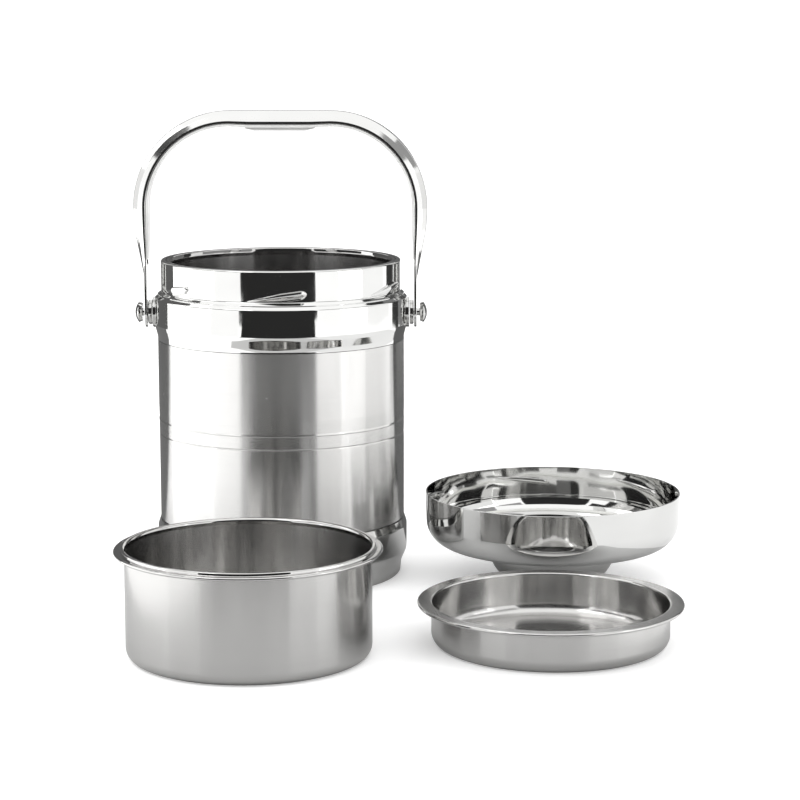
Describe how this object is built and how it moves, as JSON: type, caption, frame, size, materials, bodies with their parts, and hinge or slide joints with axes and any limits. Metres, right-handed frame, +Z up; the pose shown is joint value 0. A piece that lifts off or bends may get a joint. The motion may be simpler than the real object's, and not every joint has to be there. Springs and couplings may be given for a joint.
{
  "type": "insulated tiffin carrier",
  "caption": "Double-walled steel food carrier with a swinging bail handle, a threaded lid lying upside-down beside it, and a deep container and shallow dish that nest in its mouth.",
  "frame": {"origin": "centre of the pot's flat underside, on the surface that the whole set stands on", "axes": "+Z up; +X along the bail's pivot axis, towards the lid and the shallow dish; -Y the front, towards the deep container"},
  "size_m": [0.3403, 0.3573, 0.2911],
  "materials": {
    "polished_steel": "mirror polished stainless steel",
    "brushed_steel": "fine circumferential brushed stainless steel",
    "satin_steel": "satin spun stainless steel",
    "grip_plastic": "satin moulded plastic",
    "silicone": "translucent white silicone",
    "foam": "insulating foam",
    "getter_alloy": "sintered grey metal"
  },
  "bodies": {
    "pot": {"neck_collar": "polished_steel", "body_shell": "brushed_steel", "base_cap": "brushed_steel", "inner_liner": "satin_steel", "vacuum_end_cap": "satin_steel", "getter_pill": "getter_alloy", "vacuum_seal_plug": "getter_alloy", "left_pivot_flange": "polished_steel", "left_pivot_boss": "polished_steel", "left_pivot_rivet": "polished_steel", "right_pivot_flange": "polished_steel", "right_pivot_boss": "polished_steel", "right_pivot_rivet": "polished_steel"},
    "bail": {"bail_handle": "polished_steel", "bail_insert": "grip_plastic", "bail_grip": "grip_plastic"},
    "lid": {"lid_shell": "polished_steel", "lid_inner_plate": "polished_steel", "lid_seal": "silicone", "lid_insulation": "foam", "lid_knob": "polished_steel"},
    "container": {"deep_container": "satin_steel"},
    "dish": {"shallow_dish": "satin_steel"}
  },
  "joints": [
    {"name": "bail_swing", "type": "hinge", "parent": "pot", "child": "bail", "pos_m": [0, 0, 0.1655], "axis": [1, 0, 0], "range_deg": [-132, 132]},
    {"name": "lid_lift", "type": "slide", "parent": "pot", "child": "lid", "axis": [0, 0, 1], "range_m": [0, 0.2]},
    {"name": "container_lift", "type": "slide", "parent": "pot", "child": "container", "axis": [0, 0, 1], "range_m": [0, 0.2]},
    {"name": "dish_lift", "type": "slide", "parent": "pot", "child": "dish", "axis": [0, 0, 1], "range_m": [0, 0.2]}
  ]
}
